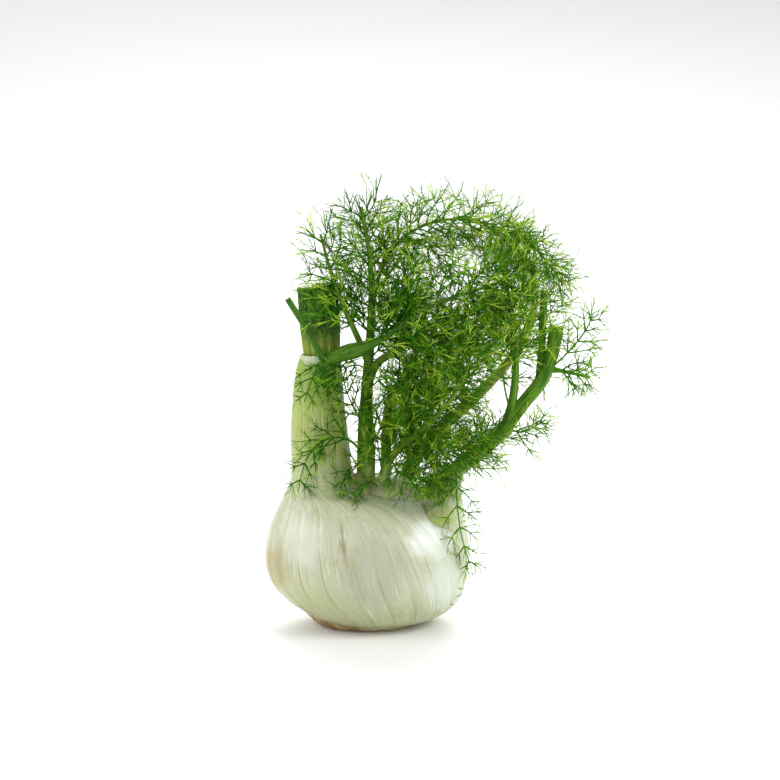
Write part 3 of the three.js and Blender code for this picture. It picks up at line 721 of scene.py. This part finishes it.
def root_finish():
    """Brown cork with pale flecks, lighter towards the right."""
    finish = Finish("corky root", Roughness=0.85)
    cork = finish.noise(210, 6, roughness=0.7)
    lumps = finish.noise(75, 3)
    tint = finish.mix(finish.between(lumps, 0.35, 0.65), paint("#a58a5a"), paint("#cdbd8e"))
    tint = finish.mix(finish.between(cork, 0.42, 0.6, 0.7, 0), tint, paint("#6b5028"))
    side = finish.step("ShaderNodeSeparateXYZ", {0: finish.place}).outputs["X"]
    tint = finish.mix(finish.between(side, -0.012, 0.008, 0, 0.7), tint, paint("#bcb98c"))
    tint = finish.mix(finish.between(cork, 0.66, 0.74), tint, paint("#ece2c0"))
    finish.colour(tint)
    finish.bump(cork, 0.0008)
    return finish.material


def cut_finish(name, pith, rim):
    """Pale pith with darker strands, where a stalk was cut across."""
    finish = Finish(name, Subsurface_Weight=0.15, Subsurface_Radius=(0.002, 0.002, 0.001),
                    Subsurface_Scale=1.0)
    strands = finish.step("ShaderNodeTexVoronoi", {"Vector": finish.place, "Scale": 620}).outputs["Distance"]
    tint = finish.mix(finish.between(strands, 0.42, 0.12), paint(pith), paint(rim))
    tint = finish.mix(finish.between(finish.noise(300, 3), 0.4, 0.7, 0, 0.5), tint, paint(rim))
    finish.colour(tint)
    finish.gloss(finish.between(finish.noise(400, 2), 0.3, 0.7, 0.45, 0.65))
    finish.bump(strands, 0.0003)
    return finish.material


# Stalks, side ribs and leaflets grown by a node tree

class Tree:
    """A node tree with named inputs, wired from plain steps."""

    def __init__(self, name, **inputs):
        self.group = bpy.data.node_groups.new(name, "GeometryNodeTree")
        face = self.group.interface
        face.new_socket("Geometry", in_out="INPUT", socket_type="NodeSocketGeometry")
        face.new_socket("Geometry", in_out="OUTPUT", socket_type="NodeSocketGeometry")
        for label, kind in inputs.items():
            face.new_socket(label.replace("_", " "), in_out="INPUT", socket_type="NodeSocket" + kind)
        self.source = self.group.nodes.new("NodeGroupInput")

    def input(self, label):
        return self.source.outputs[label]

    def step(self, kind, inputs=(), output=0, **settings):
        node = self.group.nodes.new(kind)
        for setting, value in settings.items():
            setattr(node, setting, value)
        for socket, value in dict(inputs).items():
            for one in value if isinstance(value, list) else [value]:
                if isinstance(one, bpy.types.NodeSocket):
                    self.group.links.new(one, node.inputs[socket])
                else:
                    node.inputs[socket].default_value = one
        return node.outputs[output]

    def named(self, name, kind="FLOAT"):
        return self.step("GeometryNodeInputNamedAttribute", {"Name": name}, data_type=kind)

    def sum(self, operation, *values):
        return self.step("ShaderNodeMath", enumerate(values), operation=operation)

    def chance(self, low, high, salt):
        seed = self.sum("ADD", self.input("Seed"), salt)
        node = self.group.nodes.new("FunctionNodeRandomValue")
        node.data_type = "FLOAT"
        node.inputs[2].default_value = low
        node.inputs[3].default_value = high
        self.group.links.new(seed, node.inputs["Seed"])
        return node.outputs[1]

    def finish(self, geometry):
        self.group.links.new(geometry, self.group.nodes.new("NodeGroupOutput").inputs[0])
        return self.group


def leaf_tree():
    """Turns a leaf's paths into ridged stalks and slim ribs, and sets forked leaflets along the ribs."""
    tree = Tree("feathery leaf", Ridges="Int", Ridge_depth="Float", Leaflet_spacing="Float",
                Lean="Float", Seed="Int", Leaflets="Collection", Stalk_finish="Material",
                Leaflet_finish="Material", Cut_finish="Material")
    stalks = tree.step("GeometryNodeSeparateGeometry", {
        "Geometry": tree.input("Geometry"), "Selection": tree.named("is_stalk", "BOOLEAN")})
    ribs = tree.step("GeometryNodeSeparateGeometry", {
        "Geometry": tree.input("Geometry"), "Selection": tree.named("is_stalk", "BOOLEAN")}, output=1)

    def tube(paths, profile):
        curve = tree.step("GeometryNodeMeshToCurve", {"Mesh": paths})
        curve = tree.step("GeometryNodeStoreNamedAttribute", {
            "Geometry": curve, "Name": "run",
            "Value": tree.step("GeometryNodeSplineParameter", output=1)}, data_type="FLOAT", domain="POINT")
        profile = tree.step("GeometryNodeStoreNamedAttribute", {
            "Geometry": profile, "Name": "round", "Value": tree.step("GeometryNodeInputPosition")},
            data_type="FLOAT_VECTOR", domain="POINT")
        return curve, tree.step("GeometryNodeCurveToMesh", {
            "Curve": curve, "Profile Curve": profile, "Scale": tree.named("thick"), "Fill Caps": True})

    star = tree.step("GeometryNodeCurveStar", {
        "Points": tree.input("Ridges"), "Outer Radius": 1.0,
        "Inner Radius": tree.sum("SUBTRACT", 1.0, tree.input("Ridge depth"))})
    circle = tree.step("GeometryNodeCurvePrimitiveCircle", {"Resolution": 5, "Radius": 1.0})
    _, stalk_skin = tube(stalks, star)
    rib_curve, rib_skin = tube(ribs, circle)
    corners = tree.step("GeometryNodeInputMeshFaceNeighbors")
    is_end = tree.step("FunctionNodeCompare", {2: corners, 3: 6}, data_type="INT", operation="GREATER_THAN")
    is_wall = tree.step("FunctionNodeBooleanMath", {0: is_end}, operation="NOT")
    stalk_skin = tree.step("GeometryNodeSetShadeSmooth", {"Geometry": stalk_skin, "Shade Smooth": is_wall})
    stalk_skin = tree.step("GeometryNodeSetMaterial", {
        "Geometry": stalk_skin, "Material": tree.input("Stalk finish")})
    stalk_skin = tree.step("GeometryNodeSetMaterial", {
        "Geometry": stalk_skin, "Selection": is_end, "Material": tree.input("Cut finish")})

    spots = tree.group.nodes.new("GeometryNodeCurveToPoints")
    spots.mode = "LENGTH"
    tree.group.links.new(rib_curve, spots.inputs["Curve"])
    tree.group.links.new(tree.input("Leaflet spacing"), spots.inputs["Length"])
    index = tree.step("GeometryNodeInputIndex")
    roll = tree.sum("ADD", tree.sum("MULTIPLY", index, 2.39996), tree.chance(-0.5, 0.5, 1))
    aim = tree.step("FunctionNodeAlignRotationToVector", {"Vector": spots.outputs["Tangent"]}, axis="Z")
    lean = tree.sum("MULTIPLY", tree.input("Lean"), tree.chance(0.75, 1.3, 2))
    for turn in ({"Z": roll}, {"X": lean}):
        euler = tree.step("ShaderNodeCombineXYZ", turn)
        turned = tree.step("FunctionNodeEulerToRotation", {0: euler})
        aim = tree.step("FunctionNodeRotateRotation", {"Rotation": aim, "Rotate By": turned},
                        rotation_space="LOCAL")
    taper = tree.sum("MULTIPLY_ADD", tree.named("along"), -0.4, 1.0)
    size = tree.sum("MULTIPLY", tree.sum("MULTIPLY", tree.named("leaflet"), taper), tree.chance(0.7, 1.2, 3))
    kit = tree.step("GeometryNodeCollectionInfo", {
        "Collection": tree.input("Leaflets"), "Separate Children": True, "Reset Children": True})
    leafy = tree.step("FunctionNodeCompare", {0: tree.named("leaflet"), 1: 0.001},
                      data_type="FLOAT", operation="GREATER_THAN")
    leaflets = tree.step("GeometryNodeInstanceOnPoints", {
        "Points": spots.outputs["Points"], "Selection": leafy, "Instance": kit, "Pick Instance": True,
        "Rotation": aim, "Scale": size})
    leaflets = tree.step("GeometryNodeStoreNamedAttribute", {
        "Geometry": leaflets, "Name": "shade", "Value": tree.chance(0, 1, 4)},
        data_type="FLOAT", domain="INSTANCE")
    threads = tree.step("GeometryNodeJoinGeometry", {0: [rib_skin, leaflets]})
    threads = tree.step("GeometryNodeRealizeInstances", {0: threads})
    threads = tree.step("GeometryNodeSetShadeSmooth", {"Geometry": threads})
    threads = tree.step("GeometryNodeSetMaterial", {
        "Geometry": threads, "Material": tree.input("Leaflet finish")})
    return tree.finish(tree.step("GeometryNodeJoinGeometry", {0: [stalk_skin, threads]}))


def grown(piece, group, inputs):
    """Runs a node tree on a piece once and keeps the plain mesh."""
    modifier = piece.modifiers.new("grow", "NODES")
    modifier.node_group = group
    for item in group.interface.items_tree:
        if item.item_type == "SOCKET" and item.in_out == "INPUT" and item.name in inputs:
            modifier[item.identifier] = inputs[item.name]
    shown = piece.evaluated_get(bpy.context.evaluated_depsgraph_get())
    mesh = bpy.data.meshes.new_from_object(shown)
    piece.modifiers.remove(modifier)
    piece.data = mesh
    return piece


def thread_tube(points, radii, tubes):
    """Adds one tapered thread that ends in a point."""
    corners, faces = tubes
    first = len(corners)
    last = len(points) - 1
    for i in range(last):
        along = (points[i + 1] - points[max(i - 1, 0)]).normalized()
        out = along.cross(Vector((0.31, 0.95, 0.05))).normalized()
        over = along.cross(out)
        corners += [points[i] + radii[i] * (out * math.cos(turn) + over * math.sin(turn))
                    for turn in (2 * math.pi * side / THREAD_SIDES for side in range(THREAD_SIDES))]
    corners.append(points[last])
    for i in range(last):
        for side in range(THREAD_SIDES):
            here = first + i * THREAD_SIDES + side
            beside = first + i * THREAD_SIDES + (side + 1) % THREAD_SIDES
            if i == last - 1:
                faces.append((here, beside, first + last * THREAD_SIDES))
            else:
                faces.append((here, beside, beside + THREAD_SIDES, here + THREAD_SIDES))
    faces.append(tuple(first + side for side in range(THREAD_SIDES))[::-1])


def leaflet_kit():
    """Forked leaflets of length 1 along +Z, each a little different."""
    kit = bpy.data.collections.new("leaflet kit")
    draw = Draws(5)
    for number in range(LEAFLET_KINDS):
        tubes = ([], [])
        sway = Vector((draw(-0.12, 0.12), draw(-0.12, 0.12), 0))

        def axis(share):
            return Vector((0, 0, share)) + sway * share**2

        thread_tube([axis(share) for share in (0, 0.4, 0.75, 1)],
                    [THREAD / 19, THREAD / 20, THREAD / 24], tubes)
        for fork in range(2 + number % 2):
            share = 0.22 + 0.24 * fork
            turn = fork * math.pi + draw(-0.7, 0.7)
            side = Vector((math.cos(turn), math.sin(turn), 0)) * math.sin(FORK_ANGLE)
            aim = side + Vector((0, 0, math.cos(FORK_ANGLE)))
            reach = (1 - share) * draw(0.7, 0.95)
            bend = Vector((0, 0, 0.18)) * reach
            thread_tube([axis(share) + aim * reach * s + bend * s**2 for s in (0, 0.5, 1)],
                        [THREAD / 21, THREAD / 25], tubes)
        mesh = bpy.data.meshes.new(f"leaflet {number}")
        mesh.from_pydata(tubes[0], [], tubes[1])
        kit.objects.link(bpy.data.objects.new(f"leaflet {number}", mesh))
    return kit


# A leaf's paths

def sideways(along, face, side, swing, lean):
    """A direction that leans off `along` to one side, in the blade's plane turned by `swing`."""
    across = along.cross(face).normalized()
    up = across.cross(along)
    swing, lean = math.radians(swing), math.radians(lean)
    return (along * math.cos(lean) + across * (side * math.sin(lean) * math.cos(swing))
            + up * (math.sin(lean) * math.sin(swing)))


def feather(stem, draw, offset=0.5):
    """Side ribs as (curve, length, sprigs), a sprig being its root, aim and length."""
    line = Line(stem["path"])
    face = Vector(stem["face"]).normalized()
    for i in range(stem["pairs"]):
        share = (i + offset) / stem["pairs"]
        if share > 1:
            continue
        spot = stem["leafy"] + (0.98 - stem["leafy"]) * share
        for side in (-1, 1):
            along = line.along(spot)
            heading = sideways(along, face, side, draw(-stem["spread"], stem["spread"]), draw(42, 62))
            length = stem["reach"] * (1 - 0.62 * share) * draw(0.8, 1.08)
            sag = along * 0.16 + Vector((0, 0, -draw(0, 0.16)))
            root = line.at(spot)

            def rib(s, root=root, heading=heading, length=length, sag=sag):
                return root + heading * (length * s) + sag * (length * s * s)

            sprigs = []
            count = max(1, round(length / 7.5))
            for j in range(count):
                s = (j + 0.6) / count
                forward = (rib(s + 0.05) - rib(s)).normalized()
                for hand in (-1, 1):
                    aim = sideways(forward, face, hand, draw(-70, 70), draw(38, 60))
                    sprigs.append((rib(s), aim, stem["leaflet"] * (1 - 0.4 * s) * draw(0.75, 1.15)))
            yield rib, length, sprigs


class Paths:
    """Loose edges that know their thickness, and whether they are stalk or rib."""

    def __init__(self):
        self.points = []
        self.edges = []
        self.facts = {"thick": [], "along": [], "leaflet": [], "is_stalk": []}

    def add(self, places, thick, is_stalk, leaflet):
        """A path through places; `thick` gives its radius at a share of its length."""
        first = len(self.points)
        for i, place in enumerate(places):
            share = i / (len(places) - 1)
            self.points.append(place * MM)
            self.facts["thick"].append(thick(share) * MM)
            self.facts["along"].append(share)
            self.facts["leaflet"].append(leaflet * MM)
            self.facts["is_stalk"].append(is_stalk)
        self.edges.extend((i, i + 1) for i in range(first, len(self.points) - 1))

    def add_ribs(self, ribs, leaflet, wander):
        """Side ribs that wave a little, each with curled sprigs."""
        for rib, length, sprigs in ribs:
            wave = Vector((wander(-1, 1), wander(-1, 1), wander(-1, 1))) * 0.05 * length
            places = [rib(s / 8) + wave * math.sin(math.pi * s / 8) for s in range(9)]
            self.add(places, lambda share: SIDE_RIB - SIDE_RIB_TAPER * share, False, leaflet * 1.35)
            for root, aim, reach in sprigs:
                curl = Vector((wander(-1, 1), wander(-1, 1), wander(-0.6, 1))) * 0.16 * reach
                spot = min(places, key=lambda place: (place - root).length)
                root = root.lerp(spot, 0.6)
                self.add([root + aim * reach * s + curl * s * s for s in (0, 0.25, 0.5, 0.75, 1)],
                         lambda share: SPRIG - SPRIG_TAPER * share, False, leaflet * 1.1)

    def piece(self, name):
        mesh = bpy.data.meshes.new(name)
        mesh.from_pydata(self.points, self.edges, [])
        for fact, values in self.facts.items():
            kind = "BOOLEAN" if fact == "is_stalk" else "FLOAT"
            mesh.attributes.new(fact, kind, "POINT").data.foreach_set("value", values)
        piece = bpy.data.objects.new(name, mesh)
        bpy.context.scene.collection.objects.link(piece)
        return piece


def stem_thickness(stem, length, slim):
    """A stem's radius by the share of its length: flared at the root, swollen and waisted where it says."""
    def thickness(share):
        spot, width, amount = stem.get("swell", (0, 1, 0))
        flare = 0.3 * bell(share * length, 3) + amount * bell(share - spot, width)
        waist, left = stem.get("waist", (2, 1))
        past = min(1, max(0, (share - waist) / 0.1))
        straight = stem["thick"] + (stem["fine"] - stem["thick"]) * share
        return slim * straight * (1 + flare) * (1 - (1 - left) * past)
    return thickness


def leaf_paths(name, seed, stems):
    """All of a leaf's paths as one piece of loose edges."""
    paths = Paths()
    draw = Draws(seed)
    wander = Draws(seed + 1000)
    for stem in stems:
        line = Line(stem["path"])
        steps = max(8, round(line.length / 1.6))
        places = [line.at(i / steps) for i in range(steps + 1)]
        is_stalk = stem["thick"] > STALK_FROM
        slim = stem.get("slim", 1 if is_stalk else THIN_STEM)
        if "root" in stem:
            places.insert(0, Vector(stem["root"]))
        paths.add(places, stem_thickness(stem, line.length, slim), is_stalk,
                  0 if is_stalk else stem["leaflet"] * 0.8)
        if stem["pairs"]:
            paths.add_ribs(feather(stem, draw), stem["leaflet"], wander)
            if stem["twice"]:
                paths.add_ribs(feather(stem, wander, 1.0), stem["leaflet"], wander)
    return paths.piece(name)


# Leaf bases

# Patches of colour on the flesh, some of them painted highlights and painted shade: middle and size in
# metres, tint, strength, and whether it is streaky.
HEART_PATCHES = [
    ((-0.004, -0.012, 0.076), (0.011, 0.014, 0.015), "#857a48", 0.75),
    ((0.013, -0.012, 0.075), (0.03, 0.03, 0.007), "#9aa566", 0.6),
]
OUTER_PATCHES = [
    ((-0.046, -0.016, 0.033), (0.012, 0.025, 0.017), "#9a873a", 0.62),
    # Painted shade: a greyer patch over the middle of the front, where the flesh lies in shade.
    ((0.004, -0.034, 0.038), (0.022, 0.03, 0.024), "#9ba28c", 0.42),
    # The next three are painted highlights: whiter patches where light falls on the right shoulder, the left
    # shoulder and the lower right side.
    ((0.033, -0.026, 0.05), (0.017, 0.03, 0.013), "#e6ebe2", 0.85),
    ((-0.031, -0.026, 0.05), (0.015, 0.03, 0.016), "#dfe1d0", 0.6),
    ((0.037, -0.022, 0.027), (0.015, 0.03, 0.017), "#d3dcd3", 0.6),
    # Yellow-green tone on the lower left, darkened there as painted shade.
    ((-0.03, -0.02, 0.02), (0.026, 0.04, 0.016), "#b2b67c", 0.5),
    ((-0.012, -0.033, 0.052), (0.003, 0.02, 0.012), "#a48e55", 0.5, True),
    ((-0.012, -0.034, 0.04), (0.01, 0.02, 0.005), "#a8945c", 0.45, True),
    ((-0.027, -0.012, 0.139), (0.011, 0.02, 0.006), "#d3dabb", 0.85),
    ((-0.018, -0.02, 0.003), (0.03, 0.03, 0.005), "#9c8a5a", 0.6),
]
RIGHT_PATCHES = [
    ((0.034, -0.01, 0.058), (0.018, 0.03, 0.009), "#a8b366", 0.8),
    ((0.036, -0.004, 0.073), (0.02, 0.03, 0.012), "#7c9236", 0.85),
    # Dark brown in the notch between the heart and the neck: brownish tone, darkened as painted shade in the
    # notch.
    ((0.0275, -0.012, 0.063), (0.0035, 0.02, 0.005), "#6f6230", 0.7),
]


def make_leaf_bases():
    """The inner bases, the right one over them, and the outer one over both."""
    heart = rings_of(HEART, 40, 72, lambda turn, share, place: 0.3 * roughly(place, 9, 3))
    lobe = rings_of(HEART_LOBE, 24, 40, lambda turn, share, place: 0.2 * roughly(place, 5, 4))
    right = rings_of(RIGHT_BASE, 110, 208, rib_relief(RIGHT_RIB_DEPTH, 2), RIB_TWIST)
    outer = rings_of(OUTER_BASE, 190, 260, rib_relief(RIB_DEPTH, 1, crease), RIB_TWIST)
    outside_heart = [body_inside(heart), body_inside(lobe)]
    outside_right = body_inside(right)
    right = lipped(right, outside_heart, RIGHT_LIP)
    outer = lipped(outer, outside_heart + [outside_right])

    heart_flesh = bulb_finish("heart flesh", HEART_PATCHES)
    outer_flesh = bulb_finish("outer flesh", OUTER_PATCHES)
    right_flesh = bulb_finish("right flesh", RIGHT_PATCHES)
    skin("outer_base", outer, [outer_flesh], "outer_leaf_base",
         [(0.97, 0.5), (0.9, 0.4), (0.86, -0.8), (0.84, -5)])
    skin("right_base", right, [right_flesh], "right_leaf_base", [(0.93, 0.3), (0.8, 0.5)])
    skin("heart", heart, [heart_flesh], "heart_leaf_bases", [(0.9, 0.8), (0.7, 1.3), (0.4, 1.6)])
    skin("heart_lobe", lobe, [heart_flesh], "heart_leaf_bases", [(0.8, 0.5), (0.5, 0.9)])


# Root plate

def cork(turn, share, place):
    waves = 0.5 * math.sin(5 * turn + 1) + 0.4 * math.sin(11 * turn)
    lumps = 0.9 * roughly(place, 3, 5) + 0.5 * roughly(place, 1.3, 6)
    return (waves + lumps) * min(1, share * 4)


def make_root_plate():
    rings = rings_of(ROOT_PLATE, 30, 240, cork)
    skin("corky_root", rings, [root_finish()], "root_plate", [(0.9, 0)])


# Cut stalk

def ridges(turn, share, place):
    return 0.45 * math.cos(13 * turn) + 0.12 * math.cos(39 * turn + 1) + 0.15 * roughly(place, 5, 7)


def make_cut_stalk(cut_face):
    rings = rings_of(CUT_STALK, 90, 260, ridges)
    green = stalk_finish("cut stalk green", "#0f2905", "#4c7a16", 0.153, 0.142, "#94a644")
    skin("ridged_stalk", rings, [green, cut_face], "cut_stalk",
         [(0.95, 0.3), (0.86, 0.1), (0.6, -0.5), (0.3, -0.8)])


# Leaves

# Each leaf's stalk, dark and light, and its threads, deep, middle and pale (young growth and painted
# highlight). The brighter thread greens of the right, centre and arching leaves are partly painted light, for
# light shining through them.
GREENS = {
    "outer_leaf": ("#1f4c08", "#55841e", "#30690a", "#76b41c", "#b2d642"),
    "upright_leaf": ("#26560a", "#7aa42c", "#27610a", "#68aa18", "#b4d83e"),
    "right_leaf": ("#27560a", "#6c9a26", "#44820e", "#9acb26", "#c9df58"),
    "front_leaf": ("#3f7212", "#84a834", "#3c7610", "#6a9c18", "#a6c432"),
    "centre_leaf": ("#234c08", "#5c8420", "#4c8410", "#a4cc2a", "#cfe25a"),
    "arching_leaf": ("#2f5a0e", "#5f8826", "#448210", "#9aca28", "#c9df58"),
    "back_leaf": ("#5c6828", "#8e904a", "#467812", "#7ca422", "#b4cc44"),
}
SLOTS = {"front_leaf": "leaf_yellow", "centre_leaf": "leaf_yellow", "back_leaf": "leaf_dark"}


def make_leaves(cut_face):
    kit = leaflet_kit()
    feathery = leaf_tree()
    for leaf, (seed, stems) in LEAVES.items():
        stalk_dark, stalk_light, deep, middle, young_and_highlight = GREENS[leaf]
        piece = grown(leaf_paths("feathery_" + leaf, seed, stems), feathery, {
            "Ridges": STALK_RIDGES,
            "Ridge depth": RIDGE_DEPTH,
            "Leaflet spacing": LEAFLET_SPACING * MM,
            "Lean": LEAFLET_LEAN,
            "Seed": seed,
            "Leaflets": kit,
            "Stalk finish": stalk_finish(leaf + " stalk", stalk_dark, stalk_light, 0.09, 0.066, "#c3d08c"),
            "Leaflet finish": leaflet_finish(leaf + " threads", deep, middle, young_and_highlight),
            "Cut finish": cut_face,
        })
        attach(piece, "root")
        SLOTS.get(leaf, "leaf_green")
        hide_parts(leaf)
    for spare in list(kit.objects):
        bpy.data.objects.remove(spare)
    bpy.data.collections.remove(kit)


# The whole plant

place_camera()
light_the_room()
lay_floor()
cut_pith = cut_finish("cut face", "#cdd6a0", "#84a24a")
make_leaf_bases()
make_root_plate()
make_cut_stalk(cut_pith)
make_leaves(cut_pith)
